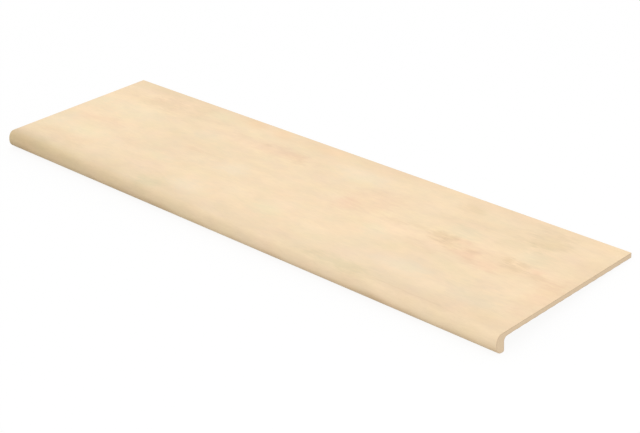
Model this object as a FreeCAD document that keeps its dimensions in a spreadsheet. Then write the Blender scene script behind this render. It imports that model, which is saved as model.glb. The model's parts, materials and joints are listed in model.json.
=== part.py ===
import FreeCAD, Part
import Sketcher
import math
import os

# Bullnose stair tread tile
#
# One fired piece. Its section is the same from end to end: a flat slab to walk on, and
# a nose at the front that turns down over the riser and ends in a rounded toe. Behind
# the nose the underside is a rebate that takes the edge of the step. Shallow keying
# grooves on the underside hold the bedding mortar.
#
# The section is drawn with the slab level, y running back from the front of the nose
# and z up from the toe. Left alone on a floor the tile rests on its toe and on its rear
# lower edge, so the finished piece is tipped back until both touch z = 0.

DRIVING_SIZES = [
    ("length", 1200.0, "end to end, along the step"),
    ("depth", 340.0, "front of the nose to the rear edge"),
    ("slab_thickness", 9.0, "the part that is walked on"),
    ("nose_height", 33.0, "walking face to the bottom of the toe"),
    ("nose_thickness", 19.0, "front to back, where the nose hangs down"),
    ("bull_upper_radius", 12.0, "tight round where the walking face turns over"),
    ("bull_lower_radius", 22.0, "slow round down to the upright front"),
    ("bull_blend_angle", 30.0, "degrees above level where the two rounds meet"),
    ("toe_front_radius", 14.0, "lower front of the nose"),
    ("toe_back_radius", 3.0, "lower back of the nose"),
    ("least_flat", 0.5, "least straight stretch left between two rounds of the nose"),
    ("rebate_fillet", 7.0, "hollow round between the nose and the underside"),
    ("arris", 0.6, "bevel on the cut ends and on the rear edges"),
    ("groove_pitch", 21.0, "one keying groove to the next"),
    ("groove_mouth", 13.0, "width of a keying groove at the underside"),
    ("groove_floor", 11.6, "width of a keying groove at its floor"),
    ("groove_depth", 0.7, "depth of a keying groove"),
    ("front_land", 10.0, "plain underside between the rebate round and the first groove"),
    ("rear_land", 14.0, "least plain underside behind the last groove"),
]
NEAR = 1e-4

UNDERSIDE = "sizes.nose_height - sizes.slab_thickness"
FIRST_GROOVE = "sizes.nose_thickness + sizes.rebate_fillet + sizes.front_land"
BULL_RISE = (
    "sizes.bull_upper_radius + (sizes.bull_lower_radius - sizes.bull_upper_radius)"
    " * sin(sizes.bull_blend_angle * 1 deg)"
)
# The toe's front round is limited by the height left under the bullnose and by the
# thickness left in front of the back round.
TOE_FRONT_RADIUS = (
    "min(sizes.toe_front_radius;"
    f" sizes.nose_height - sizes.least_flat - ({BULL_RISE});"
    " sizes.nose_thickness - sizes.least_flat - sizes.toe_back_radius)"
)


def make_sheet(doc):
    """Write the driving sizes into a spreadsheet, one row each, and name their cells."""
    sheet = doc.addObject("Spreadsheet::Sheet", "sizes")
    for row, (name, value, note) in enumerate(DRIVING_SIZES, start=1):
        sheet.set(f"A{row}", name)
        sheet.set(f"B{row}", str(value))
        sheet.set(f"C{row}", note)
        sheet.setAlias(f"B{row}", name)
    doc.recompute()
    return sheet


def origin_feature(body, role):
    """One of the body's own origin planes or axes."""
    return next(feature for feature in body.Origin.OriginFeatures if feature.Role == role)


def sketch_on_section_plane(body, name):
    """A sketch whose x runs back across the tread and whose y runs up."""
    sketch = body.newObject("Sketcher::SketchObject", name)
    sketch.AttachmentSupport = [(origin_feature(body, "YZ_Plane"), "")]
    sketch.MapMode = "FlatFace"
    return sketch


def line(start, end):
    return Part.LineSegment(FreeCAD.Vector(*start, 0), FreeCAD.Vector(*end, 0))


def arc(centre, radius, first_degrees, last_degrees):
    circle = Part.Circle(FreeCAD.Vector(*centre, 0), FreeCAD.Vector(0, 0, 1), radius)
    return Part.ArcOfCircle(circle, math.radians(first_degrees), math.radians(last_degrees))


def value_of(item, formula):
    """What a formula of sheet values comes to now."""
    return float(item.evalExpression(formula))


def bind(sketch, name, kind, places, formula):
    """Add a dimension that takes its value from the sheet."""
    start_value = value_of(sketch, formula)
    if kind == "Angle":
        start_value = math.radians(start_value)
    index = sketch.addConstraint(Sketcher.Constraint(kind, *places, start_value))
    sketch.renameConstraint(index, name)
    unit = "1 deg" if kind == "Angle" else "1 mm"
    sketch.setExpression(f"Constraints.{name}", f"({formula}) * {unit}")


def draw_section(body, sheet):
    """The J-shaped section: slab, two-radius bullnose, toe and rebate."""
    sketch = sketch_on_section_plane(body, "Section")
    blend = 180.0 - sheet.bull_blend_angle
    blend_reach = math.cos(math.radians(sheet.bull_blend_angle))
    blend_rise = math.sin(math.radians(sheet.bull_blend_angle))
    radius_step = sheet.bull_lower_radius - sheet.bull_upper_radius
    upper_centre = (
        sheet.bull_lower_radius - radius_step * blend_reach,
        sheet.nose_height - sheet.bull_upper_radius,
    )
    lower_centre = (sheet.bull_lower_radius, upper_centre[1] - radius_step * blend_rise)
    blend_point = (
        lower_centre[0] - sheet.bull_lower_radius * blend_reach,
        lower_centre[1] + sheet.bull_lower_radius * blend_rise,
    )
    toe_front_radius = value_of(sketch, TOE_FRONT_RADIUS)
    toe_front_centre = (toe_front_radius, toe_front_radius)
    toe_back_centre = (sheet.nose_thickness - sheet.toe_back_radius, sheet.toe_back_radius)
    underside = value_of(sketch, UNDERSIDE)
    fillet_centre = (sheet.nose_thickness + sheet.rebate_fillet, underside - sheet.rebate_fillet)

    shapes = {
        "face": line((sheet.depth, sheet.nose_height), (upper_centre[0], sheet.nose_height)),
        "upper_round": arc(upper_centre, sheet.bull_upper_radius, 90.0, blend),
        "lower_round": arc(lower_centre, sheet.bull_lower_radius, blend, 180.0),
        "front": line((0.0, lower_centre[1]), (0.0, toe_front_centre[1])),
        "toe_front": arc(toe_front_centre, toe_front_radius, 180.0, 270.0),
        "toe": line((toe_front_centre[0], 0.0), (toe_back_centre[0], 0.0)),
        "toe_back": arc(toe_back_centre, sheet.toe_back_radius, 270.0, 360.0),
        "inner": line((sheet.nose_thickness, toe_back_centre[1]), (sheet.nose_thickness, fillet_centre[1])),
        "fillet": arc(fillet_centre, sheet.rebate_fillet, 90.0, 180.0),
        "under": line((fillet_centre[0], underside), (sheet.depth, underside)),
        "rear": line((sheet.depth, underside), (sheet.depth, sheet.nose_height)),
    }
    edge = {name: sketch.addGeometry(shape, False) for name, shape in shapes.items()}
    spoke = sketch.addGeometry(line(lower_centre, blend_point), True)

    start, end, centre = 1, 2, 3
    origin, across_axis, up_axis = -1, -1, -2
    smooth_joins = [
        ("face", end, "upper_round", start),
        ("upper_round", end, "lower_round", start),
        ("lower_round", end, "front", start),
        ("front", end, "toe_front", start),
        ("toe_front", end, "toe", start),
        ("toe", end, "toe_back", start),
        ("toe_back", end, "inner", start),
        ("inner", end, "fillet", end),
        ("fillet", start, "under", start),
    ]
    rules = [
        Sketcher.Constraint("Tangent", edge[one], one_end, edge[other], other_end)
        for one, one_end, other, other_end in smooth_joins
    ]
    rules += [Sketcher.Constraint("Horizontal", edge[name]) for name in ("face", "toe", "under")]
    rules += [Sketcher.Constraint("Vertical", edge[name]) for name in ("front", "inner", "rear")]
    rules += [
        Sketcher.Constraint("Coincident", edge["under"], end, edge["rear"], start),
        Sketcher.Constraint("Coincident", edge["rear"], end, edge["face"], start),
        Sketcher.Constraint("PointOnObject", edge["front"], start, up_axis),
        Sketcher.Constraint("PointOnObject", edge["toe"], start, across_axis),
        Sketcher.Constraint("Coincident", spoke, start, edge["lower_round"], centre),
        Sketcher.Constraint("Coincident", spoke, end, edge["lower_round"], start),
    ]
    sketch.addConstraint(rules)

    bind(sketch, "Depth", "DistanceX", (origin, start, edge["rear"], start), "sizes.depth")
    bind(sketch, "NoseHeight", "DistanceY", (origin, start, edge["face"], start), "sizes.nose_height")
    bind(sketch, "NoseThickness", "DistanceX", (origin, start, edge["inner"], start), "sizes.nose_thickness")
    bind(sketch, "SlabThickness", "DistanceY", (edge["rear"], start, edge["rear"], end), "sizes.slab_thickness")
    bind(sketch, "BullUpperRadius", "Radius", (edge["upper_round"],), "sizes.bull_upper_radius")
    bind(sketch, "BullLowerRadius", "Radius", (edge["lower_round"],), "sizes.bull_lower_radius")
    bind(sketch, "BlendAngle", "Angle", (spoke,), "180 - sizes.bull_blend_angle")
    bind(sketch, "ToeFrontRadius", "Radius", (edge["toe_front"],), TOE_FRONT_RADIUS)
    bind(sketch, "ToeBackRadius", "Radius", (edge["toe_back"],), "sizes.toe_back_radius")
    bind(sketch, "RebateFillet", "Radius", (edge["fillet"],), "sizes.rebate_fillet")
    return sketch


def extrude_tile(body, section):
    """Run the section along the step, half its length each way from the middle."""
    pad = body.newObject("PartDesign::Pad", "Tile")
    pad.Profile = section
    pad.SideType = "Symmetric"
    pad.setExpression("Length", "sizes.length * 1 mm")
    section.Visibility = False
    return pad


def break_edges(body, pad, sheet):
    """Bevel the outline of both cut ends and the two long rear edges."""
    half_length = sheet.length / 2
    names = []
    for number, edge in enumerate(pad.Shape.Edges, start=1):
        box = edge.BoundBox
        on_end = min(abs(box.XMin - half_length), abs(box.XMax + half_length)) < NEAR
        on_rear = abs(box.YMin - sheet.depth) < NEAR and box.XLength > NEAR
        if on_end or on_rear:
            names.append(f"Edge{number}")
    bevel = body.newObject("PartDesign::Chamfer", "Arris")
    bevel.Base = (pad, names)
    bevel.setExpression("Size", "sizes.arris * 1 mm")
    return bevel


def cut_keying_grooves(body, sheet):
    """Cut one shallow groove along the underside and repeat it towards the rear."""
    sketch = sketch_on_section_plane(body, "GrooveSection")
    front = value_of(sketch, FIRST_GROOVE)
    rear = front + sheet.groove_mouth
    low = value_of(sketch, UNDERSIDE)
    high = low + sheet.groove_depth
    inset = (sheet.groove_mouth - sheet.groove_floor) / 2
    corners = [(front, low), (rear, low), (rear - inset, high), (front + inset, high)]
    sides = [
        sketch.addGeometry(line(corners[side], corners[(side + 1) % len(corners)]), False)
        for side in range(len(corners))
    ]
    start, end, origin = 1, 2, -1
    mouth_side, rear_flank, floor_side, front_flank = sides
    rules = [
        Sketcher.Constraint("Coincident", side, end, sides[(place + 1) % len(sides)], start)
        for place, side in enumerate(sides)
    ]
    rules += [Sketcher.Constraint("Horizontal", side) for side in (mouth_side, floor_side)]
    rules.append(Sketcher.Constraint("Equal", rear_flank, front_flank))
    sketch.addConstraint(rules)
    bind(sketch, "FirstGroove", "DistanceX", (origin, start, mouth_side, start), FIRST_GROOVE)
    bind(sketch, "Underside", "DistanceY", (origin, start, mouth_side, start), UNDERSIDE)
    bind(sketch, "GrooveMouth", "DistanceX", (mouth_side, start, mouth_side, end), "sizes.groove_mouth")
    bind(sketch, "GrooveFloor", "DistanceX", (floor_side, end, floor_side, start), "sizes.groove_floor")
    bind(sketch, "GrooveDepth", "DistanceY", (rear_flank, start, rear_flank, end), "sizes.groove_depth")

    groove = body.newObject("PartDesign::Pocket", "KeyingGroove")
    groove.Profile = sketch
    groove.SideType = "Symmetric"
    groove.setExpression("Length", "sizes.length * 1 mm")
    sketch.Visibility = False

    row = body.newObject("PartDesign::LinearPattern", "KeyingGrooves")
    row.Originals = [groove]
    row.Direction = (origin_feature(body, "Y_Axis"), [""])
    run = f"sizes.depth - sizes.rear_land - sizes.groove_mouth - ({FIRST_GROOVE})"
    steps = f"floor(({run}) / sizes.groove_pitch)"
    row.setExpression("Occurrences", f"1 + {steps}")
    row.setExpression("Length", f"{steps} * sizes.groove_pitch * 1 mm")
    body.Tip = row
    return row


def rest_on_floor(body, sheet):
    """Tip the tile back on to its toe and rear lower edge, over the middle of its base."""
    toe_centre_y = sheet.nose_thickness - sheet.toe_back_radius
    toe_centre_z = sheet.toe_back_radius
    rear_y = sheet.depth - sheet.arris
    rear_z = value_of(body, UNDERSIDE)
    reach = math.hypot(rear_y - toe_centre_y, rear_z - toe_centre_z)
    slope = math.atan2(rear_z - toe_centre_z, rear_y - toe_centre_y)
    lean = slope + math.asin(sheet.toe_back_radius / reach)
    turn = FreeCAD.Rotation(FreeCAD.Vector(1, 0, 0), -math.degrees(lean))
    level = body.Shape.copy()
    level.Placement = FreeCAD.Placement(FreeCAD.Vector(), turn)
    box = level.optimalBoundingBox(False, False)
    middle = FreeCAD.Vector(0, -(box.YMin + box.YMax) / 2, -box.ZMin)
    body.Placement = FreeCAD.Placement(middle, turn)
    print("lean", round(math.degrees(lean), 4), "degrees, moved by", middle)


def check(doc):
    """Stop if any object of the document failed or any shape is broken."""
    for item in doc.Objects:
        if "Invalid" in item.State or "Error" in item.State:
            raise RuntimeError(f"{item.Name} failed: {item.State}")
        shape = getattr(item, "Shape", None)
        is_solid_step = item.isDerivedFrom("PartDesign::Feature") or item.TypeId == "PartDesign::Body"
        if is_solid_step and (shape.isNull() or not shape.isValid()):
            raise RuntimeError(f"{item.Name} has no valid shape")


def main():
    doc = FreeCAD.newDocument("bullnose_tread")
    sheet = make_sheet(doc)
    tile = doc.addObject("PartDesign::Body", "bullnose_tile")
    tile.Label = "bullnose_tile"
    section = draw_section(tile, sheet)
    pad = extrude_tile(tile, section)
    doc.recompute()
    break_edges(tile, pad, sheet)
    doc.recompute()
    bevelled_volume = tile.Shape.Volume
    grooves = cut_keying_grooves(tile, sheet)
    doc.recompute()
    if tile.Shape.Volume >= bevelled_volume:
        raise RuntimeError("the keying grooves cut nothing")
    rest_on_floor(tile, sheet)
    doc.recompute()
    check(doc)

    os.makedirs("parts", exist_ok=True)
    shape = tile.Shape
    shape.exportStep(f"parts/{tile.Label}.step")
    box = shape.optimalBoundingBox(False, False)
    print("grooves", grooves.Occurrences)
    print("solids", len(shape.Solids), "volume", round(shape.Volume), "cubic mm")
    print("box", [round(value, 3) for value in (box.XMin, box.YMin, box.ZMin, box.XMax, box.YMax, box.ZMax)])


main()
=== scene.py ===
# %% [markdown]
# # A stair tread tile with a bullnose
#
# The real object is one long fired tile for the top of a step. It is a flat slab with a wood-look
# face. Its front edge is rounded over and turns down into a thicker nose, so that the section looks
# like a J. The tile is shown lying on a floor: the foot of the nose and the lower rear edge carry
# it, so its walking face leans back by about four degrees.
#
# The CAD model is the fixed frame. Everything here is in metres, in the same place and size as the
# CAD. Its mesh could be shown as it is, but its triangles are coarse on the round nose, so a finer
# tile of the same sizes is modelled here and replaces it.

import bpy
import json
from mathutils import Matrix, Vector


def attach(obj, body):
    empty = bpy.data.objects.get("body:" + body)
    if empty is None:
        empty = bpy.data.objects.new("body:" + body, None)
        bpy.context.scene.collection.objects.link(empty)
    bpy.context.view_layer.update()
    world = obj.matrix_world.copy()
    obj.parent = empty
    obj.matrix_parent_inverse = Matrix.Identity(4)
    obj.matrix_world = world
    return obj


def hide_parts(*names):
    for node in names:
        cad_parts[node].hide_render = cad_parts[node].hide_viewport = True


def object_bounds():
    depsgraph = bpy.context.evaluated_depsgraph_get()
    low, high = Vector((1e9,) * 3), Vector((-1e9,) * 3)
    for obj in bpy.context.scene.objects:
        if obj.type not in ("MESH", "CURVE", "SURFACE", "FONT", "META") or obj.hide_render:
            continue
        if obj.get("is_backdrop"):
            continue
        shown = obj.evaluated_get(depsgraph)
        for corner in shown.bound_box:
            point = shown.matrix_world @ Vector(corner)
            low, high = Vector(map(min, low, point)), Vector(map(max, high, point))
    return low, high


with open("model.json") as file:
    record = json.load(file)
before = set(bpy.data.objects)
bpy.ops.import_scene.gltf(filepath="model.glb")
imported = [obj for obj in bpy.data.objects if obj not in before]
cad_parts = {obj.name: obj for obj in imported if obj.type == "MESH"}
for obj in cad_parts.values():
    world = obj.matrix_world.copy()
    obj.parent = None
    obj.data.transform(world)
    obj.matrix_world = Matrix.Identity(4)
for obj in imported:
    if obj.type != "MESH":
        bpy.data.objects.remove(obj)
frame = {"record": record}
cad_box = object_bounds()
print("CAD box from", [round(v, 5) for v in cad_box[0]], "to", [round(v, 5) for v in cad_box[1]])

# %% The other tools of this lesson
import json
import math

import bmesh
import bpy
from mathutils import Matrix, Quaternion, Vector

MM = 0.001
scene = bpy.context.scene
scene.view_settings.view_transform = "Standard"
print("view transform", scene.view_settings.view_transform)

# %% [markdown]
# ## The camera
#
# The photograph looks down on the nose from the front right, through a long lens that is turned a
# little about its own line of sight. A camera can be placed by hand and nudged until the picture
# agrees, or be worked out from the straight edges in the picture. Here it was worked out, because
# that settles all of it at once: the point looked at, the distance, three angles and the lens say
# where the camera stands.

# %% Place the camera
LOOKED_AT = Vector((0.11898, -0.04387, 0.02))
VIEW_DISTANCE = 2.7249
VIEW_AZIMUTH = math.radians(47.333)
VIEW_ELEVATION = math.radians(29.306)
VIEW_ROLL = math.radians(-6.409)
SENSOR_MM = 36
LENS_MM = 90.631

towards_camera = Vector((
    math.sin(VIEW_AZIMUTH) * math.cos(VIEW_ELEVATION),
    -math.cos(VIEW_AZIMUTH) * math.cos(VIEW_ELEVATION),
    math.sin(VIEW_ELEVATION),
))
level_camera = (-towards_camera).to_track_quat("-Z", "Y")
camera_turn = level_camera @ Quaternion((0, 0, 1), VIEW_ROLL)
bpy.ops.object.camera_add(
    location=LOOKED_AT + towards_camera * VIEW_DISTANCE,
    rotation=camera_turn.to_euler(),
)
camera = bpy.context.object
camera.name = "camera"
camera.data.sensor_width = SENSOR_MM
camera.data.lens = LENS_MM
scene.camera = camera
print("camera at", [round(v, 4) for v in camera.location])

# %% [markdown]
# ## The section of the tile
#
# All cuts across the tile look the same, because a press gives the clay one outline all along. A
# box with rounded edges would be quicker, but the nose has two different rounds, a rounded toe and
# a hollow round behind it. So that outline is drawn, and then pulled along the length. It is drawn
# level, as on the step: y runs back from the front of the nose, z up from the toe. The start is one
# vertex. Extruding it draws a straight, and spinning it draws an arc.

# %% Sizes in millimetres, and one angle in degrees, the same as in the CAD source
LENGTH = 1200
DEPTH = 340
TOP = 33
UNDERSIDE = 24
NOSE_THICKNESS = 19
UPPER_RADIUS = 12
LOWER_RADIUS = 22
JOIN_ANGLE = 30
TOE_FRONT_RADIUS = 14
TOE_BACK_RADIUS = 3
HOLLOW_RADIUS = 7

# The two rounds of the nose run into each other, so their centres and the join lie on one line.
between_centres = LOWER_RADIUS - UPPER_RADIUS
upper_centre_y = LOWER_RADIUS - between_centres * math.cos(math.radians(JOIN_ANGLE))
upper_centre_z = TOP - UPPER_RADIUS
lower_centre_z = upper_centre_z - between_centres * math.sin(math.radians(JOIN_ANGLE))
half_length = LENGTH / 2 * MM
print("the upper round starts", round(upper_centre_y, 3), "mm behind the front of the nose")


# %% Put the pencil down at the top rear corner
def deselect_all():
    """Leaves edit mode and selects nothing, so that the next operator acts on its own piece alone."""
    if bpy.context.object and bpy.context.object.mode != "OBJECT":
        bpy.ops.object.mode_set(mode="OBJECT")
    bpy.ops.object.select_all(action="DESELECT")


def start_point(name, point):
    """A small plane merged to its middle: one selected vertex in edit mode, the tip of the pencil."""
    deselect_all()
    bpy.ops.mesh.primitive_plane_add(size=MM, location=point)
    piece = bpy.context.object
    piece.name = name
    piece.data.name = name
    bpy.ops.object.transform_apply(location=True, rotation=True, scale=True)
    bpy.ops.object.mode_set(mode="EDIT")
    bpy.ops.mesh.select_all(action="SELECT")
    bpy.ops.mesh.merge(type="CENTER")
    return piece


tile = start_point("wood_look_tread", (-half_length, DEPTH * MM, TOP * MM))
print("the outline starts with", len(bmesh.from_edit_mesh(tile.data).verts), "vertex")

# %% Draw the outline forwards, round the nose and back along the underside
MERGE_WITHIN = 0.001


def straight(back, up):
    """Extrudes the tip of the pencil by so many millimetres back and up."""
    bpy.ops.mesh.extrude_vertices_move(TRANSFORM_OT_translate={"value": (0, back * MM, up * MM)})


def arc(centre_y, centre_z, degrees, steps):
    """Spins the tip about a centre in a number of short straights, from back (+y) towards up (+z)."""
    bpy.ops.mesh.spin(
        steps=steps,
        angle=math.radians(-degrees),
        center=(-half_length, centre_y * MM, centre_z * MM),
        axis=(1, 0, 0),
    )


straight(upper_centre_y - DEPTH, 0)
arc(upper_centre_y, upper_centre_z, 90 - JOIN_ANGLE, steps=18)
arc(LOWER_RADIUS, lower_centre_z, JOIN_ANGLE, steps=10)
straight(0, TOE_FRONT_RADIUS - lower_centre_z)
arc(TOE_FRONT_RADIUS, TOE_FRONT_RADIUS, 90, steps=24)
straight(NOSE_THICKNESS - TOE_BACK_RADIUS - TOE_FRONT_RADIUS, 0)
arc(NOSE_THICKNESS - TOE_BACK_RADIUS, TOE_BACK_RADIUS, 90, steps=10)
straight(0, UNDERSIDE - HOLLOW_RADIUS - TOE_BACK_RADIUS)
arc(NOSE_THICKNESS + HOLLOW_RADIUS, UNDERSIDE - HOLLOW_RADIUS, -90, steps=12)
straight(DEPTH - NOSE_THICKNESS - HOLLOW_RADIUS, 0)
straight(0, TOP - UNDERSIDE)
bpy.ops.mesh.select_all(action="SELECT")
bpy.ops.mesh.remove_doubles(threshold=MERGE_WITHIN * MM)
outline = bmesh.from_edit_mesh(tile.data)
front = min(vertex.co.y for vertex in outline.verts)
print("outline of", len(outline.verts), "vertices, front at y", round(front / MM, 4))

# %% Fill it and pull it along the length
bpy.ops.mesh.edge_face_add()
bpy.ops.mesh.extrude_region_move(TRANSFORM_OT_translate={"value": (2 * half_length, 0, 0)})
bpy.ops.mesh.select_all(action="SELECT")
bpy.ops.mesh.normals_make_consistent(inside=False)
print("solid of", len(bmesh.from_edit_mesh(tile.data).faces), "faces")

# %% [markdown]
# ## The small edges
#
# No edge of such a tile is knife sharp. The sawn ends and the rear edge are ground to an arris of
# about half a millimetre, which catches a thin line of light. A Bevel node could fake it in the
# material, but the outline would stay sharp. So the edges themselves are bevelled, and they are
# picked by their place.

# %% Break the edges of both ends and of the rear
ARRIS = 0.6
ARRIS_STEPS = 2
NEAR = 0.01 * MM


def select_edges(piece, wanted):
    """Selects, in edit mode, the edges whose two ends satisfy wanted(point, point). Counts them."""
    bpy.ops.mesh.select_mode(type="EDGE")
    bpy.ops.mesh.select_all(action="DESELECT")
    mesh = bmesh.from_edit_mesh(piece.data)
    for edge in mesh.edges:
        edge.select_set(wanted(edge.verts[0].co, edge.verts[1].co))
    bmesh.update_edit_mesh(piece.data)
    return sum(edge.select for edge in mesh.edges)


def on_an_end(a, b):
    """An edge that lies in the plane of the left or the right end."""
    return abs(a.x - b.x) < NEAR and abs(abs(a.x) - half_length) < NEAR


def on_the_rear(a, b):
    """A long edge of the rear, above or below."""
    return min(a.y, b.y) > DEPTH * MM - NEAR and abs(a.x - b.x) > half_length


picked = select_edges(tile, lambda a, b: on_an_end(a, b) or on_the_rear(a, b))
bpy.ops.mesh.bevel(
    offset=ARRIS * MM,
    offset_type="OFFSET",
    segments=ARRIS_STEPS,
    affect="EDGES",
    clamp_overlap=False,
)
print("broke", picked, "edges by", ARRIS, "mm")

# %% [markdown]
# ## The keying grooves of the back
#
# The back of such a tile has shallow grooves along its length, so that the mortar keys into it.
# They could be drawn into the outline, but then the small end bevel would run into every groove. In
# the factory a tool presses them, all alike, so here one cutter is made, an array repeats it, and a
# boolean takes all of them out at once.

# %% Sizes of the grooves and of their cutter in millimetres
GROOVE_COUNT = 14
GROOVE_PITCH = 21
GROOVE_MOUTH = 13
GROOVE_FLOOR = 11.6
GROOVE_DEPTH = 0.7
FRONT_LAND = 10
CUTTER_BELOW = 1.0
CUTTER_OVERHANG = 30

first_groove = NOSE_THICKNESS + HOLLOW_RADIUS + FRONT_LAND
groove_slope = (GROOVE_MOUTH - GROOVE_FLOOR) / GROOVE_DEPTH
cutter_foot_width = GROOVE_MOUTH + groove_slope * CUTTER_BELOW
cutter_height = GROOVE_DEPTH + CUTTER_BELOW
print("first groove at y", first_groove, "mm, cutter", cutter_foot_width, "mm wide at its foot")

# %% One cutter with slanted sides
SQUARELY = 0.99


def select_faces(piece, wanted):
    """Selects, in edit mode, the faces for which wanted(face) is true. Counts them."""
    bpy.ops.mesh.select_mode(type="FACE")
    bpy.ops.mesh.select_all(action="DESELECT")
    mesh = bmesh.from_edit_mesh(piece.data)
    for face in mesh.faces:
        face.select_set(wanted(face))
    bmesh.update_edit_mesh(piece.data)
    return sum(face.select for face in mesh.faces)


cutter_middle = Vector((
    0,
    (first_groove + GROOVE_MOUTH / 2) * MM,
    (UNDERSIDE - CUTTER_BELOW + cutter_height / 2) * MM,
))
deselect_all()
bpy.ops.mesh.primitive_cube_add(size=1, location=cutter_middle)
cutter = bpy.context.object
cutter.name = "groove_cutter"
cutter.scale = ((LENGTH + 2 * CUTTER_OVERHANG) * MM, cutter_foot_width * MM, cutter_height * MM)
bpy.ops.object.transform_apply(location=True, rotation=True, scale=True)
bpy.ops.object.mode_set(mode="EDIT")
tops = select_faces(cutter, lambda face: face.normal.z > SQUARELY)
bpy.ops.transform.resize(
    value=(1, GROOVE_FLOOR / cutter_foot_width, 1),
    center_override=cutter_middle,
)
bpy.ops.object.mode_set(mode="OBJECT")
print("narrowed", tops, "face of the cutter to", GROOVE_FLOOR, "mm")

# %% Repeat the cutter
copies = cutter.modifiers.new("row_of_grooves", "ARRAY")
copies.use_relative_offset = False
copies.use_constant_offset = True
copies.constant_offset_displace = (0, GROOVE_PITCH * MM, 0)
copies.count = GROOVE_COUNT
bpy.ops.object.modifier_apply(modifier=copies.name)
print("cutters reach y", round(max(v.co.y for v in cutter.data.vertices) / MM, 2), "mm")

# %% Cut the grooves
deselect_all()
tile.select_set(True)
bpy.context.view_layer.objects.active = tile
grooves = tile.modifiers.new("keying_grooves", "BOOLEAN")
grooves.operation = "DIFFERENCE"
grooves.solver = "EXACT"
grooves.object = cutter
bpy.ops.object.modifier_apply(modifier=grooves.name)
deselect_all()
cutter.select_set(True)
bpy.ops.object.delete()
print("the tile has", len(tile.data.polygons), "faces after the grooves")

# %% [markdown]
# ## The layers at the sawn ends
#
# Where the tile is sawn, the printed glaze shows as a line round the pale body, about a millimetre
# wide. A mask in the material could draw the line, but it would have to know at each point how far
# off the edge is. An inset of the end faces is simpler: it gives the line narrow faces of its own.

# %% Inset the end faces
GLAZE_LINE = 0.9

deselect_all()
tile.select_set(True)
bpy.context.view_layer.objects.active = tile
bpy.ops.object.mode_set(mode="EDIT")
ends = select_faces(tile, lambda face: abs(face.normal.x) > SQUARELY)
bpy.ops.mesh.inset(thickness=GLAZE_LINE * MM, depth=0, use_even_offset=True)
print("inset", ends, "end faces by", GLAZE_LINE, "mm")

# %% [markdown]
# ## From level to its place on the floor
#
# The tile was drawn level, but on a floor it lies tipped back. The angle could be typed in, and the
# tile pushed until it touches the floor. The CAD record says it better: the axis of the riser stop
# gives the lean, and the planes of the riser stop and of the bedding face give the place. Reading
# them puts the finer tile exactly where the CAD tile is, and keeps it there if the CAD tile is
# moved.

# %% Read the lean and the place from the record's mounts
mounts = {mount["name"]: mount for mount in frame["record"]["mounts"]}
backwards = Vector(mounts["riser_stop"]["axis"]).normalized()
upwards = -Vector(mounts["bedding_face"]["axis"]).normalized()
lean = math.atan2(-backwards.z, backwards.y)
stop_distance = backwards.dot(Vector(mounts["riser_stop"]["pos_m"]))
bed_distance = upwards.dot(Vector(mounts["bedding_face"]["pos_m"]))
level_origin = (
    backwards * (stop_distance - NOSE_THICKNESS * MM)
    + upwards * (bed_distance - UNDERSIDE * MM)
)
print("lean", round(math.degrees(lean), 4), "degrees")
print("the drawing's origin goes to", [round(v, 6) for v in level_origin])

# %% Lean the tile and put it there
# Run without a window, this rotate turns the other way than a rotation matrix, so it sinks the rear.
bpy.ops.mesh.select_all(action="SELECT")
bpy.ops.transform.rotate(value=lean, orient_axis="X", center_override=(0, 0, 0))
bpy.ops.transform.translate(value=level_origin)
bpy.ops.object.mode_set(mode="OBJECT")
lowest = min(v.co.z for v in tile.data.vertices)
highest = max(v.co.z for v in tile.data.vertices)
print("the tile now stands from", round(lowest / MM, 3), "to", round(highest / MM, 3), "mm")

# %% [markdown]
# ## Coordinates for the finishes
#
# A finish that is painted by place needs to know where on the tile it is. A UV map could say it,
# but it would have to be unfolded and scaled first. Object coordinates are there already, and they
# follow the piece at every pose. They are turned back to the level tile, so that x runs from the
# left end, y back from the nose and z up from the toe, in millimetres.

# %% Helpers that add and link nodes
COLUMN_WIDTH = 220
ROW_HEIGHT = 180


def add(tree, kind, column, row, **settings):
    """A new node in a column and row of the node editor, with its settings."""
    node = tree.nodes.new(kind)
    node.location = (column * COLUMN_WIDTH, -row * ROW_HEIGHT)
    for name, value in settings.items():
        setattr(node, name, value)
    return node


def feed(tree, socket, source):
    """Links a socket to another node's output, or sets it to a plain value."""
    if isinstance(source, bpy.types.NodeSocket):
        tree.links.new(source, socket)
    else:
        socket.default_value = source


def maths(tree, operation, column, row, *values):
    """A Math node fed with sockets or numbers. Returns its output."""
    node = add(tree, "ShaderNodeMath", column, row, operation=operation)
    for socket, value in zip(node.inputs, values):
        feed(tree, socket, value)
    return node.outputs[0]


def vector_maths(tree, operation, column, row, *values):
    """A Vector Math node fed with sockets or vectors. Returns its vector, or its value for a length."""
    node = add(tree, "ShaderNodeVectorMath", column, row, operation=operation)
    for socket, value in zip(node.inputs, values):
        feed(tree, socket, value)
    return node.outputs["Value" if operation == "LENGTH" else "Vector"]


print("helpers for nodes are ready")

# %% The tile's own coordinates in millimetres
turn_back = Matrix.Rotation(lean, 3, "X")
shift_back = turn_back @ -level_origin / MM + Vector((LENGTH / 2, 0, 0))


def tile_coordinates(tree):
    """Object coordinates turned back to the level tile: x from the left end, y from the nose, z up."""
    here = add(tree, "ShaderNodeTexCoord", -4, 0)
    mapping = add(tree, "ShaderNodeMapping", -3, 0)
    mapping.inputs["Rotation"].default_value = (lean, 0, 0)
    mapping.inputs["Scale"].default_value = (1 / MM,) * 3
    mapping.inputs["Location"].default_value = shift_back
    tree.links.new(here.outputs["Object"], mapping.inputs["Vector"])
    return mapping.outputs["Vector"]


print("turned back, the coordinates are shifted by", [round(v, 3) for v in shift_back], "mm")

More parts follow.
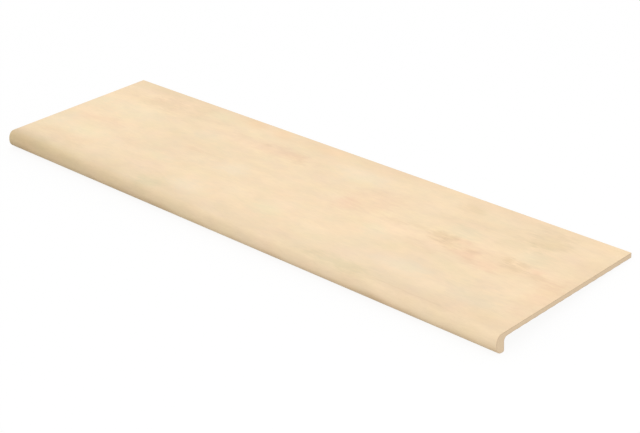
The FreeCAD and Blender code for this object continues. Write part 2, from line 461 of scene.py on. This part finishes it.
# %% [markdown]
# ## Shared effects
#
# Three effects are used again and again. Their nodes could be set out anew in each material, but
# then a change would have to be made in each. So each effect is a node group with named sockets,
# built once. `drawn_out_noise` is noise pulled out along the length, which gives wood its clouds
# and streaks. The mark group tints one soft spot of the print, or paints one soft spot of shade.
# `body_speckle` gives fired clay its fine grain.


# %% Helpers for node groups
def new_group(name, inputs, outputs):
    """An empty shader node group with named sockets. Returns the group, its inputs and its outputs."""
    group = bpy.data.node_groups.new(name, "ShaderNodeTree")
    for label, kind, value in inputs:
        socket = group.interface.new_socket(label, in_out="INPUT", socket_type=kind)
        if value is not None:
            socket.default_value = value
    for label, kind in outputs:
        group.interface.new_socket(label, in_out="OUTPUT", socket_type=kind)
    inner = add(group, "NodeGroupInput", -2, 0).outputs
    outer = add(group, "NodeGroupOutput", 8, 0).inputs
    return group, inner, outer


def use_group(tree, group, column, row, **values):
    """Places a group in a material. Underscores in the names stand for spaces. Returns its outputs."""
    node = add(tree, "ShaderNodeGroup", column, row, node_tree=group)
    for name, value in values.items():
        feed(tree, node.inputs[name.replace("_", " ")], value)
    return node.outputs


print("helpers for node groups are ready")

# %% Noise drawn out along the tile
# A Noise node gives values close round its middle. The gain spreads them to about -1 to 1.
NOISE_MIDDLE = 0.5
NOISE_GAIN = 4.0

noise_group, given, result = new_group(
    "drawn_out_noise",
    [
        ("Vector", "NodeSocketVector", None),
        ("Width", "NodeSocketFloat", 20.0),
        ("Stretch", "NodeSocketFloat", 5.0),
        ("Detail", "NodeSocketFloat", 3.0),
        ("Start", "NodeSocketFloat", 0.0),
    ],
    [("Value", "NodeSocketFloat")],
)
across = maths(noise_group, "DIVIDE", 0, 1, 1.0, given["Width"])
along = maths(noise_group, "DIVIDE", 1, 0, across, given["Stretch"])
spread = add(noise_group, "ShaderNodeCombineXYZ", 2, 0)
feed(noise_group, spread.inputs["X"], along)
feed(noise_group, spread.inputs["Y"], across)
feed(noise_group, spread.inputs["Z"], across)
placed = vector_maths(noise_group, "MULTIPLY", 3, 0, given["Vector"], spread.outputs["Vector"])
shifted = vector_maths(noise_group, "ADD", 4, 0, placed, given["Start"])
noise = add(noise_group, "ShaderNodeTexNoise", 5, 0)
feed(noise_group, noise.inputs["Vector"], shifted)
feed(noise_group, noise.inputs["Scale"], 1.0)
feed(noise_group, noise.inputs["Detail"], given["Detail"])
centred = maths(noise_group, "SUBTRACT", 6, 0, noise.outputs["Fac"], NOISE_MIDDLE)
feed(noise_group, result["Value"], maths(noise_group, "MULTIPLY", 7, 0, centred, NOISE_GAIN))
print("group", noise_group.name, "gives values of about -1 to 1")


# %% Helpers for ramps and mixed colours
def ramp(tree, column, row, value, from_range, to_range, interpolation="SMOOTHSTEP"):
    """A Map Range node, which carries a value from one range over to another. Returns its output."""
    node = add(tree, "ShaderNodeMapRange", column, row, interpolation_type=interpolation)
    feed(tree, node.inputs["Value"], value)
    for label, limit in zip(("From Min", "From Max", "To Min", "To Max"), (*from_range, *to_range)):
        feed(tree, node.inputs[label], limit)
    return node.outputs["Result"]


def mixed(tree, blend, column, row, factor, first, second):
    """A Mix node for colours: its colour sockets are numbers 6 and 7, its colour output is number 2."""
    node = add(tree, "ShaderNodeMix", column, row, data_type="RGBA", blend_type=blend)
    feed(tree, node.inputs[0], factor)
    feed(tree, node.inputs[6], first)
    feed(tree, node.inputs[7], second)
    return node.outputs[2]


print("helpers for ramps and colours are ready")

# %% One soft mark of the print, or of painted shade
WHITE = (1, 1, 1, 1)
# Both distances are from the middle of the mark, in half sizes of it.
FULL_TINT_WITHIN = 0.25
NO_TINT_BEYOND = 1.45
RAGGEDNESS = 0.3

mark_group, given, result = new_group(
    "figure_and_shade_mark",
    [
        ("Color", "NodeSocketColor", WHITE),
        ("Vector", "NodeSocketVector", None),
        ("Fibre", "NodeSocketFloat", 0.0),
        ("Centre", "NodeSocketVector", (0, 0, 0)),
        ("Half Size", "NodeSocketVector", (10, 10, 10)),
        ("Tint", "NodeSocketColor", WHITE),
    ],
    [("Color", "NodeSocketColor")],
)
from_centre = vector_maths(mark_group, "SUBTRACT", 0, 1, given["Vector"], given["Centre"])
in_half_sizes = vector_maths(mark_group, "DIVIDE", 1, 1, from_centre, given["Half Size"])
reach = vector_maths(mark_group, "LENGTH", 2, 1, in_half_sizes)
ragged = maths(mark_group, "MULTIPLY_ADD", 3, 1, given["Fibre"], RAGGEDNESS, reach)
tint_share = ramp(mark_group, 4, 1, ragged, (FULL_TINT_WITHIN, NO_TINT_BEYOND), (1.0, 0.0))
tinted = mixed(mark_group, "MULTIPLY", 6, 0, tint_share, given["Color"], given["Tint"])
feed(mark_group, result["Color"], tinted)
print("group", mark_group.name, "fades out at", NO_TINT_BEYOND, "half sizes")

# %% The fine grain of fired clay
GRAIN_DETAIL = 2.0

speckle_group, given, result = new_group(
    "body_speckle",
    [
        ("Vector", "NodeSocketVector", None),
        ("Size", "NodeSocketFloat", 1.0),
        ("Amount", "NodeSocketFloat", 0.05),
    ],
    [("Shade", "NodeSocketFloat"), ("Grains", "NodeSocketFloat")],
)
per_size = maths(speckle_group, "DIVIDE", 0, 1, 1.0, given["Size"])
scaled = add(speckle_group, "ShaderNodeVectorMath", 1, 0, operation="SCALE")
feed(speckle_group, scaled.inputs["Vector"], given["Vector"])
feed(speckle_group, scaled.inputs["Scale"], per_size)
grains = add(speckle_group, "ShaderNodeTexNoise", 2, 0)
feed(speckle_group, grains.inputs["Vector"], scaled.outputs["Vector"])
feed(speckle_group, grains.inputs["Scale"], 1.0)
feed(speckle_group, grains.inputs["Detail"], GRAIN_DETAIL)
centred = maths(speckle_group, "SUBTRACT", 3, 0, grains.outputs["Fac"], NOISE_MIDDLE)
strong = maths(speckle_group, "MULTIPLY", 4, 0, centred, NOISE_GAIN)
shade = maths(speckle_group, "MULTIPLY_ADD", 5, 0, strong, given["Amount"], 1.0)
feed(speckle_group, result["Shade"], shade)
feed(speckle_group, result["Grains"], strong)
print("group", speckle_group.name, "gives a shade round 1 and grains round 0")

# %% [markdown]
# ## The wood-look print, with painted shade on the nose and toe
#
# The walking face is a print of pale birch under a matt satin glaze. It is soft and cloudy: broad
# clouds and fine streaks run along the length, with pink and greenish patches, and small darker
# knots in the right half. A picture of real wood would be the quick way, but it would be one more
# file to carry along. Here the print is made of noise for what is everywhere, and of lists of
# smooth tones, patches and knots for what can be pointed at. Three of the smooth tones are not
# print but painted shade: two darken the round of the nose towards its left end, and one darkens
# the foot of the toe. The print runs on over the nose without a break, because its second
# coordinate is y plus z minus the top: that is y on the flat, and on the front it goes on downwards.


# %% Coordinates of the print
def new_material(name):
    """A material with an empty node tree and its Principled shader. Returns all three."""
    material = bpy.data.materials.new(name)
    material.use_nodes = True
    tree = material.node_tree
    tree.nodes.clear()
    shader = add(tree, "ShaderNodeBsdfPrincipled", 12, 0)
    output = add(tree, "ShaderNodeOutputMaterial", 14, 0)
    tree.links.new(shader.outputs["BSDF"], output.inputs["Surface"])
    return material, tree, shader


printed_glaze, tree, shader = new_material("printed_glaze")
place = tile_coordinates(tree)
parts = add(tree, "ShaderNodeSeparateXYZ", -2, 0)
feed(tree, parts.inputs["Vector"], place)
over_the_nose = maths(tree, "ADD", -1, 1, parts.outputs["Y"], parts.outputs["Z"])
unrolled_y = maths(tree, "SUBTRACT", 0, 1, over_the_nose, float(TOP))
unrolled = add(tree, "ShaderNodeCombineXYZ", 1, 1)
feed(tree, unrolled.inputs["X"], parts.outputs["X"])
feed(tree, unrolled.inputs["Y"], unrolled_y)
print("material", printed_glaze.name, "reads the unrolled face")

# %% A wander that keeps the streaks from running dead straight
WANDER_MM = 5.0


def layer(tree, row, place, width, stretch, detail, start):
    """One layer of drawn-out noise, its width in millimetres. Returns its value."""
    group = use_group(
        tree, noise_group, 5, row,
        Vector=place, Width=width, Stretch=stretch, Detail=detail, Start=start,
    )
    return group["Value"]


wander = layer(tree, 1, unrolled.outputs["Vector"], width=70.0, stretch=2.5, detail=3.0, start=31.0)
wander_y = maths(tree, "MULTIPLY_ADD", 6, 1, wander, WANDER_MM, unrolled_y)
print_place = add(tree, "ShaderNodeCombineXYZ", 7, 1)
feed(tree, print_place.inputs["X"], parts.outputs["X"])
feed(tree, print_place.inputs["Y"], wander_y)
print_vector = print_place.outputs["Vector"]
print("the print wanders by about", WANDER_MM, "mm to each side")

# %% Clouds, drifts, streaks and fibres, and two layers for the hue
clouds = layer(tree, 2, print_vector, width=75.0, stretch=3.0, detail=2.0, start=3.0)
drifts = layer(tree, 3, print_vector, width=26.0, stretch=2.0, detail=3.0, start=11.0)
streaks = layer(tree, 4, print_vector, width=6.0, stretch=3.6, detail=4.0, start=17.0)
fibres = layer(tree, 5, print_vector, width=1.4, stretch=10.0, detail=2.0, start=23.0)
warmth = layer(tree, 6, print_vector, width=46.0, stretch=1.6, detail=2.0, start=41.0)
coolness = layer(tree, 7, print_vector, width=42.0, stretch=1.5, detail=2.0, start=59.0)
print("six layers of drawn-out noise")


# %% The ground colour, wandering between pinkish, yellowish and cool
def srgb(red, green, blue):
    """A colour as a picture program shows it, 0 to 255, made linear for a shader."""
    channels = []
    for value in (red, green, blue):
        share = value / 255
        channels.append(share / 12.92 if share <= 0.04045 else ((share + 0.055) / 1.055) ** 2.4)
    return (*channels, 1.0)


def as_share(row, value):
    """Carries a layer's -1 to 1 over to a share from 0 to 1."""
    return maths(tree, "MULTIPLY_ADD", 6, row, value, 0.5, 0.5)


PINKISH = srgb(247, 218, 181)
YELLOWISH = srgb(245, 221, 180)
COOLER = (0.985, 1.0, 1.05, 1)

ground = mixed(tree, "MIX", 7, 6, as_share(6, warmth), PINKISH, YELLOWISH)
ground = mixed(tree, "MULTIPLY", 8, 6, as_share(7, coolness), ground, COOLER)
for label, colour in (("pinkish", PINKISH), ("yellowish", YELLOWISH)):
    print(label, "ground, linear", [round(v, 3) for v in colour[:3]])

# %% Tints of the marks, which the ground is multiplied by
# The next two tints are painted shade on the round of the nose, darkest towards its left end.
SHADED = (0.825, 0.815, 0.74, 1)
MORE_SHADED = (0.9, 0.89, 0.85, 1)
NOSE_TONE = (0.95, 0.95, 0.95, 1)
# Painted shade at the foot of the toe, where it turns down to the floor.
TOE_PAINTED_SHADE = (0.67, 0.6, 0.49, 1)
EDGE_WARMTH = (0.975, 0.955, 0.94, 1)
KNOT_BELT = (0.99, 0.955, 0.95, 1)
KNOT = (0.912, 0.898, 0.86, 1)
RED_KNOT = (0.96, 0.925, 0.915, 1)
DARK = (0.955, 0.945, 0.93, 1)
BROWNISH = (0.975, 0.96, 0.945, 1)
ORANGE = (1.02, 0.985, 0.955, 1)
AMBER = (1.055, 1.02, 0.975, 1)
GREY_BROWN = (0.92, 0.915, 0.885, 1)
OLIVE = (0.955, 0.95, 0.92, 1)
PINK = (1.0, 0.955, 0.958, 1)
DUSKY_PINK = (0.99, 0.95, 0.95, 1)
TEAL = (0.945, 0.98, 0.98, 1)
DEEP_TEAL = (0.91, 0.94, 0.91, 1)
GREENISH = (0.97, 0.985, 0.97, 1)
PALE_TEAL = (0.995, 1.03, 1.035, 1)
PALE_BLUE = (1.005, 1.04, 1.08, 1)
BLUISH = (0.96, 0.97, 0.99, 1)
print("a knot keeps", KNOT[:3], "of the ground's red, green and blue")

# %% Painted shade of the nose and toe, and smooth tones of the nose, rear edge and right end
# A mark is its middle from the left end and from the nose, its half length and its half width, all in
# millimetres, and its tint.
SMOOTH_TONES_AND_PAINTED_SHADE = [
    # Painted shade on the round of the nose, darkest at the left end.
    (0, -18, 580, 38, SHADED),
    (0, -3, 190, 24, MORE_SHADED),
    (600, 18, 1200, 32, NOSE_TONE),
    # Painted shade along the foot of the toe.
    (600, -35, 3000, 15, TOE_PAINTED_SHADE),
    (600, 340, 1200, 34, EDGE_WARMTH),
    (985, 16, 110, 17, NOSE_TONE),
    (1015, 16.5, 105, 2, DARK),
    (1205, 180, 46, 140, EDGE_WARMTH),
    (1130, 36, 80, 22, EDGE_WARMTH),
    (970, 62, 230, 44, BLUISH),
]


def paint(marks, colour, row, fray):
    """Lays marks over a colour, one after another, and frays their rims. Returns the last colour."""
    for number, (x, y, half_x, half_y, tint) in enumerate(marks):
        mark = use_group(
            tree, mark_group, 8 + number, row,
            Color=colour, Vector=print_vector, Fibre=fray,
            Centre=(x, y, 0), Half_Size=(half_x, half_y, 1), Tint=tint,
        )
        colour = mark["Color"]
    return colour


figure_and_shade = paint(SMOOTH_TONES_AND_PAINTED_SHADE, ground, 6, fray=0.0)
print(len(SMOOTH_TONES_AND_PAINTED_SHADE), "smooth tones")

# %% Patches of colour, frayed by the streaks and drifts
PATCHES = [
    (1040, 176, 175, 32, KNOT_BELT),
    (165, 283, 105, 34, BROWNISH),
    (104, 50, 66, 32, BROWNISH),
    (356, 322, 26, 20, ORANGE),
    (430, 322, 26, 16, ORANGE),
    (568, 320, 40, 16, AMBER),
    (908, 300, 26, 14, OLIVE),
    (1078, 292, 38, 36, GREY_BROWN),
    (1095, 226, 26, 24, TEAL),
    (950, 228, 36, 22, TEAL),
    (866, 18, 66, 18, DEEP_TEAL),
    (386, 18, 32, 14, TEAL),
    (1048, 244, 34, 22, OLIVE),
    (20, 215, 22, 36, PALE_TEAL),
    (24, 110, 24, 40, PALE_TEAL),
    (395, 30, 36, 19, GREENISH),
    (970, 200, 16, 9, PINK),
    (996, 167, 27, 9, PINK),
    (1052, 161, 24, 19, PINK),
    (1127, 194, 17, 9, PINK),
    (1175, 130, 26, 50, DUSKY_PINK),
    (722, 183, 23, 22, PINK),
    (755, 212, 60, 50, DUSKY_PINK),
    (464, 261, 100, 24, DUSKY_PINK),
    (108, 157, 60, 21, DUSKY_PINK),
    (126, 217, 75, 33, PALE_TEAL),
    (110, 102, 70, 28, PALE_TEAL),
    (329, 228, 40, 25, PALE_TEAL),
    (315, 112, 40, 16, PALE_TEAL),
    (830, 140, 30, 24, PALE_TEAL),
    (632, 80, 36, 24, PALE_TEAL),
    (274, 314, 36, 20, PALE_TEAL),
    (672, 280, 68, 23, PALE_BLUE),
    (469, 158, 35, 27, PALE_BLUE),
    (455, 60, 44, 24, PALE_BLUE),
    (944, 77, 54, 22, PALE_BLUE),
    (1095, 76, 44, 42, BLUISH),
]

frayed = maths(tree, "ADD", 7, 4, streaks, drifts)
figure_and_shade = paint(PATCHES, figure_and_shade, 8, fray=frayed)
print(len(PATCHES), "patches")

# %% Knots, hatched by the fibres too
HATCHING = 1.3
KNOTS = [
    (925, 197, 15, 9, KNOT),
    (949, 198, 12, 9, KNOT),
    (933, 180, 14, 5, KNOT),
    (959, 177, 22, 11, KNOT),
    (1002, 180, 22, 9, RED_KNOT),
    (1007, 180, 14, 5, DARK),
    (1069, 197, 11, 9, KNOT),
    (1097, 197, 17, 9, KNOT),
    (1092, 180, 24, 8, GREY_BROWN),
    (1140, 180, 20, 9, DARK),
    (886, 198, 28, 6, DARK),
    (834, 190, 24, 6, DARK),
    (1021, 153, 18, 10, BROWNISH),
    (444, 270, 10, 6, DARK),
    (514, 268, 28, 12, BROWNISH),
    (541, 251, 18, 10, DARK),
    (352, 170, 40, 5, BROWNISH),
    (137, 282, 46, 24, DARK),
]

hatched = maths(tree, "MULTIPLY_ADD", 7, 10, fibres, HATCHING, frayed)
figure_and_shade = paint(KNOTS, figure_and_shade, 10, fray=hatched)
print(len(KNOTS), "knots and dark stripes")

# %% Put the print and the painted shade together
# Each share says how much a layer of noise lightens and darkens the print.
CLOUD_SHARE = 0.045
DRIFT_SHARE = 0.036
STREAK_SHARE = 0.023
FIBRE_SHARE = 0.021

shade = maths(tree, "MULTIPLY_ADD", 7, 2, clouds, CLOUD_SHARE, 1.0)
shade = maths(tree, "MULTIPLY_ADD", 8, 2, drifts, DRIFT_SHARE, shade)
shade = maths(tree, "MULTIPLY_ADD", 9, 2, streaks, STREAK_SHARE, shade)
shade = maths(tree, "MULTIPLY_ADD", 10, 2, fibres, FIBRE_SHARE, shade)
feed(tree, shader.inputs["Base Color"], mixed(tree, "MULTIPLY", 11, 1, 1.0, figure_and_shade, shade))
print("the print is linked to the base colour")

# %% [markdown]
# ## Satin and relief
#
# A wood-look glaze is a matt satin, with a relief of a few hundredths of a millimetre that is felt
# rather than seen. The relief could be modelled, but that would take millions of faces. Roughness
# and a bump give the same look, and both follow the streaks and fibres of the print.

# %% Gloss and relief of the glaze
SATIN = 0.58
SATIN_CHANGE = 0.05
STREAK_RELIEF_MM = 0.03
FIBRE_RELIEF_MM = 0.012


def relief(tree, shader, height, column, row):
    """A Bump node whose height is in millimetres, linked to the shader's normal."""
    bump = add(tree, "ShaderNodeBump", column, row)
    feed(tree, bump.inputs["Strength"], 1.0)
    feed(tree, bump.inputs["Distance"], MM)
    feed(tree, bump.inputs["Height"], height)
    feed(tree, shader.inputs["Normal"], bump.outputs["Normal"])


roughness = maths(tree, "MULTIPLY_ADD", 9, 4, streaks, SATIN_CHANGE, SATIN)
feed(tree, shader.inputs["Roughness"], roughness)
streak_height = maths(tree, "MULTIPLY", 8, 5, streaks, STREAK_RELIEF_MM)
height = maths(tree, "MULTIPLY_ADD", 9, 5, fibres, FIBRE_RELIEF_MM, streak_height)
relief(tree, shader, height, 10, 5)
print("satin", SATIN, "and relief up to about", round(STREAK_RELIEF_MM + FIBRE_RELIEF_MM, 3), "mm")

# %% [markdown]
# ## The bare body
#
# The sawn ends, the rear edge and the back show the fired clay itself: the same pale hue, matt,
# with a fine grain. The back also carries a dusting of white kiln wash, thicker on the lands
# between its grooves, where it lay on the rollers. A plain colour would be quicker, but it would
# look like plastic. One helper makes the clay, so that all of it is one body, and each place gets
# its own colour, grain and roughness.

# %% Helper for the bare clay
COARSE_SIZE = 14
COARSE_AMOUNT = 0.6


def bare_clay(name, colour, roughness, grain_mm, grain_amount, relief_mm):
    """A matt clay with a grain. Returns its material, tree, shader, coordinates and colour."""
    material, tree, shader = new_material(name)
    place = tile_coordinates(tree)
    fine = use_group(tree, speckle_group, 0, 1, Vector=place, Size=grain_mm, Amount=grain_amount)
    coarse = use_group(
        tree, speckle_group, 0, 3,
        Vector=place, Size=grain_mm * COARSE_SIZE, Amount=grain_amount * COARSE_AMOUNT,
    )
    clay = mixed(tree, "MULTIPLY", 2, 1, 1.0, colour, fine["Shade"])
    clay = mixed(tree, "MULTIPLY", 4, 1, 1.0, clay, coarse["Shade"])
    feed(tree, shader.inputs["Base Color"], clay)
    feed(tree, shader.inputs["Roughness"], roughness)
    relief(tree, shader, maths(tree, "MULTIPLY", 8, 4, fine["Grains"], relief_mm), 10, 4)
    print("material", name)
    return material, tree, shader, place, clay


# %% The sawn ends and the line of glaze round them
SAWN_CLAY = srgb(231, 205, 170)
GLAZE_EDGE = srgb(212, 184, 150)

sawn_end = bare_clay(
    "sawn_end", SAWN_CLAY, roughness=0.62, grain_mm=0.7, grain_amount=0.03, relief_mm=0.015,
)[0]
glaze_line = bare_clay(
    "glaze_line", GLAZE_EDGE, roughness=0.5, grain_mm=0.7, grain_amount=0.03, relief_mm=0.01,
)[0]

# %% The ribbed back with its kiln wash
# The wash thins out on the way into a groove, between these two depths in millimetres.
LAND_TO = 0.1
GROOVE_FROM = 0.5
LAND_WASH = 0.55
GROOVE_WASH = 0.12
WASH_PATCHINESS = 0.25
BACK_CLAY = srgb(226, 203, 176)
KILN_WASH = srgb(238, 232, 222)

ribbed_back, tree, shader, place, clay = bare_clay(
    "ribbed_back", BACK_CLAY, roughness=0.8, grain_mm=0.9, grain_amount=0.04, relief_mm=0.03,
)
height_here = add(tree, "ShaderNodeSeparateXYZ", 0, 6)
feed(tree, height_here.inputs["Vector"], place)
by_depth = ramp(
    tree, 2, 6, height_here.outputs["Z"],
    (UNDERSIDE + LAND_TO, UNDERSIDE + GROOVE_FROM), (LAND_WASH, GROOVE_WASH), "LINEAR",
)
patches = layer(tree, 7, place, width=9.0, stretch=2.0, detail=4.0, start=7.0)
patchy = maths(tree, "MULTIPLY_ADD", 6, 7, patches, WASH_PATCHINESS, by_depth)
wash_share = add(tree, "ShaderNodeClamp", 7, 7)
feed(tree, wash_share.inputs["Value"], patchy)
washed = mixed(tree, "MIX", 8, 2, wash_share.outputs["Result"], clay, KILN_WASH)
feed(tree, shader.inputs["Base Color"], washed)
print("kiln wash covers about", LAND_WASH, "of the lands and", GROOVE_WASH, "of the grooves")

# %% [markdown]
# ## Giving each face its finish
#
# Finishes can be handed out by picking faces and pressing Assign, which has to be done again after
# each change of the mesh. Here they are handed out by place, because a face knows which way it
# looks and where it is. What looks along x is an end, and its core is the one face there with many
# corners. What looks up, and all of the nose that doesn't look back, is glazed. The slanted and the
# rear faces are bare, and the rest is the ribbed back. Directions are turned back to the level tile
# before they are asked for.

# %% Hand out the finishes
FINISHES = [printed_glaze, sawn_end, glaze_line, ribbed_back]
SLIGHTLY = 0.05
MANY_CORNERS = 20


def level_place(point):
    """A point of the leaning tile, in millimetres on the level tile."""
    return turn_back @ (point - level_origin) / MM


def finish_of(face):
    """The finish that a face gets."""
    looks = turn_back @ face.normal
    spot = level_place(face.calc_center_median())
    if abs(looks.x) > SQUARELY:
        return sawn_end if len(face.verts) > MANY_CORNERS else glaze_line
    if abs(looks.x) > SLIGHTLY or spot.y > DEPTH - ARRIS:
        return sawn_end
    if looks.z > SLIGHTLY or (spot.y < NOSE_THICKNESS - TOE_BACK_RADIUS and looks.y < SLIGHTLY):
        return printed_glaze
    return ribbed_back


for finish in FINISHES:
    tile.data.materials.append(finish)
deselect_all()
tile.select_set(True)
bpy.context.view_layer.objects.active = tile
bpy.ops.object.mode_set(mode="EDIT")
for number, finish in enumerate(FINISHES):
    count = select_faces(tile, lambda face: finish_of(face) == finish)
    tile.active_material_index = number
    bpy.ops.object.material_slot_assign()
    print(count, "faces of", finish.name)
bpy.ops.object.mode_set(mode="OBJECT")

# %% [markdown]
# ## Smooth rounds, flat flats
#
# The nose is made of narrow strips that should look like one round. More strips would do it, at the
# price of many more faces. Smooth shading does it with these, but it also bends the light on the
# big flat face beside them. So a weighted normal modifier follows, which lets the largest face at a
# corner decide.

# %% Shade the tile
ROUNDED_BELOW = math.radians(31)
LARGEST_DECIDES = 100

bpy.ops.object.shade_smooth_by_angle(angle=ROUNDED_BELOW)
weighted = tile.modifiers.new("flat_flats", "WEIGHTED_NORMAL")
weighted.keep_sharp = True
weighted.weight = LARGEST_DECIDES
bpy.ops.object.modifier_apply(modifier=weighted.name)
print("shaded", len(tile.data.polygons), "faces")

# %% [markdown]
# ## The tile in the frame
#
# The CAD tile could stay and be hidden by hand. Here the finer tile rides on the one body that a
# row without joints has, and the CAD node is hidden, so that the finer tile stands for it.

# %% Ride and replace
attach(tile, "root")
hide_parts("bullnose_tile")
print("tile stands for the CAD node")

# %% [markdown]
# ## Floor and backdrop
#
# The photograph is cut out on white. A sheet of paper curved up behind the tile would be the way of
# a photographer, but from this height the floor alone fills the picture. To the camera it glows
# white, and near the tile a small share of it is plain matt white, which takes a soft shadow. To
# the rays that carry light it is a light table of about half that strength, which lights the hollow
# behind the nose a little and leaves the foot of the nose darker. From below it is clear, so that
# the tile's back can be seen.


# %% What a ray is for, and a choice between two shaders
def seen_directly(tree, column, row):
    """1 for rays from the camera, from a gloss or through glass, 0 for rays that carry light."""
    path = add(tree, "ShaderNodeLightPath", column, row)
    eye = path.outputs["Is Camera Ray"]
    gloss = path.outputs["Is Glossy Ray"]
    glass = path.outputs["Is Transmission Ray"]
    eye_or_gloss = maths(tree, "MAXIMUM", column + 1, row, eye, gloss)
    return maths(tree, "MAXIMUM", column + 2, row, eye_or_gloss, glass)


def mix_shaders(tree, column, row, share, first, second):
    """A Mix Shader node. Returns its output."""
    node = add(tree, "ShaderNodeMixShader", column, row)
    feed(tree, node.inputs[0], share)
    tree.links.new(first, node.inputs[1])
    tree.links.new(second, node.inputs[2])
    return node.outputs["Shader"]


print("helpers for rays and shaders are ready")

# %% The floor
FLOOR_SIZE = 40

deselect_all()
bpy.ops.mesh.primitive_plane_add(size=FLOOR_SIZE, location=(0, 0, 0))
floor = bpy.context.object
floor.name = "floor"
floor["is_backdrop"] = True
print("floor", FLOOR_SIZE, "m wide")

# %% The floor's surface
# The floor takes its full share of shadow up to the reach and none beyond the second distance. Both are
# in metres from the middle.
SHADOW_SHARE = 0.12
SHADOW_REACH = 0.9
WHITE_FROM = 1.5
TABLE_LIGHT = 0.54

floor_white = bpy.data.materials.new("floor_white")
floor_white.use_nodes = True
tree = floor_white.node_tree
tree.nodes.clear()
floor_here = add(tree, "ShaderNodeTexCoord", 0, 4)
from_middle = vector_maths(tree, "LENGTH", 1, 4, floor_here.outputs["Object"])
shadow_share = ramp(tree, 2, 4, from_middle, (SHADOW_REACH, WHITE_FROM), (SHADOW_SHARE, 0.0))
for_light = add(tree, "ShaderNodeEmission", 2, 0)
feed(tree, for_light.inputs["Strength"], TABLE_LIGHT)
shadowed = add(tree, "ShaderNodeBsdfDiffuse", 2, 2)
feed(tree, shadowed.inputs["Color"], WHITE)
glow = add(tree, "ShaderNodeEmission", 2, 3)
feed(tree, glow.inputs["Strength"], 1.0)
for_camera = mix_shaders(tree, 4, 2, shadow_share, glow.outputs["Emission"], shadowed.outputs["BSDF"])
seen = seen_directly(tree, 1, 1)
from_above = mix_shaders(tree, 6, 0, seen, for_light.outputs["Emission"], for_camera)
clear = add(tree, "ShaderNodeBsdfTransparent", 6, 2)
side = add(tree, "ShaderNodeNewGeometry", 6, 3)
surface = mix_shaders(tree, 8, 0, side.outputs["Backfacing"], from_above, clear.outputs["BSDF"])
output = add(tree, "ShaderNodeOutputMaterial", 10, 0)
tree.links.new(surface, output.inputs["Surface"])
floor.data.materials.append(floor_white)
print("the floor lights with", TABLE_LIGHT, "and holds", SHADOW_SHARE, "of a shadow")

# %% [markdown]
# ## Light
#
# The face in the photograph is lit evenly, without a hard shadow, and the nose is brighter at its
# right end. One strong lamp would be the quick way, but it would draw a hard shadow. So white light
# comes from all round, a large lamp overhead adds to it, and a lamp at the front right, 1.5 m wide,
# brightens the nose.

# %% The world
WORLD_LIGHT = 0.92

world = bpy.data.worlds.new("white_studio")
scene.world = world
world.use_nodes = True
tree = world.node_tree
tree.nodes.clear()
lighting = add(tree, "ShaderNodeBackground", 4, 0)
feed(tree, lighting.inputs["Color"], WHITE)
seen = seen_directly(tree, 0, 1)
strength = maths(tree, "MULTIPLY_ADD", 3, 1, seen, 1.0 - WORLD_LIGHT, WORLD_LIGHT)
feed(tree, lighting.inputs["Strength"], strength)
output = add(tree, "ShaderNodeOutputWorld", 5, 0)
tree.links.new(lighting.outputs["Background"], output.inputs["Surface"])
print("world lights with", WORLD_LIGHT, "and looks white")


# %% The lamps
def area_lamp(name, location, aim, size, watts):
    """A square area lamp at a place, turned to face a point."""
    facing = (Vector(aim) - Vector(location)).to_track_quat("-Z", "Y")
    bpy.ops.object.light_add(type="AREA", location=location, rotation=facing.to_euler())
    lamp = bpy.context.object
    lamp.name = name
    lamp.data.size = size
    lamp.data.energy = watts
    print("lamp", name, watts, "W")


area_lamp("overhead", location=(-0.5, 0.3, 3.0), aim=(-0.1, 0.05, 0), size=2.4, watts=6)
area_lamp("front_right", location=(2.1, -1.3, 0.9), aim=(0.4, -0.1, 0.02), size=1.5, watts=8)

# %% [markdown]
# ## Last measures
#
# The finished tile has to stay inside the CAD model's box. It could be judged by eye, but a tenth
# of a millimetre doesn't show. So both boxes are measured in the same way and written down to be
# compared.

# %% Write both boxes and finish
seen_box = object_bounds()
sizes = {
    "cad_box": [list(cad_box[0]), list(cad_box[1])],
    "visual_box": [list(seen_box[0]), list(seen_box[1])],
}
for label, box in sizes.items():
    print(label, [[round(v, 5) for v in corner] for corner in box])
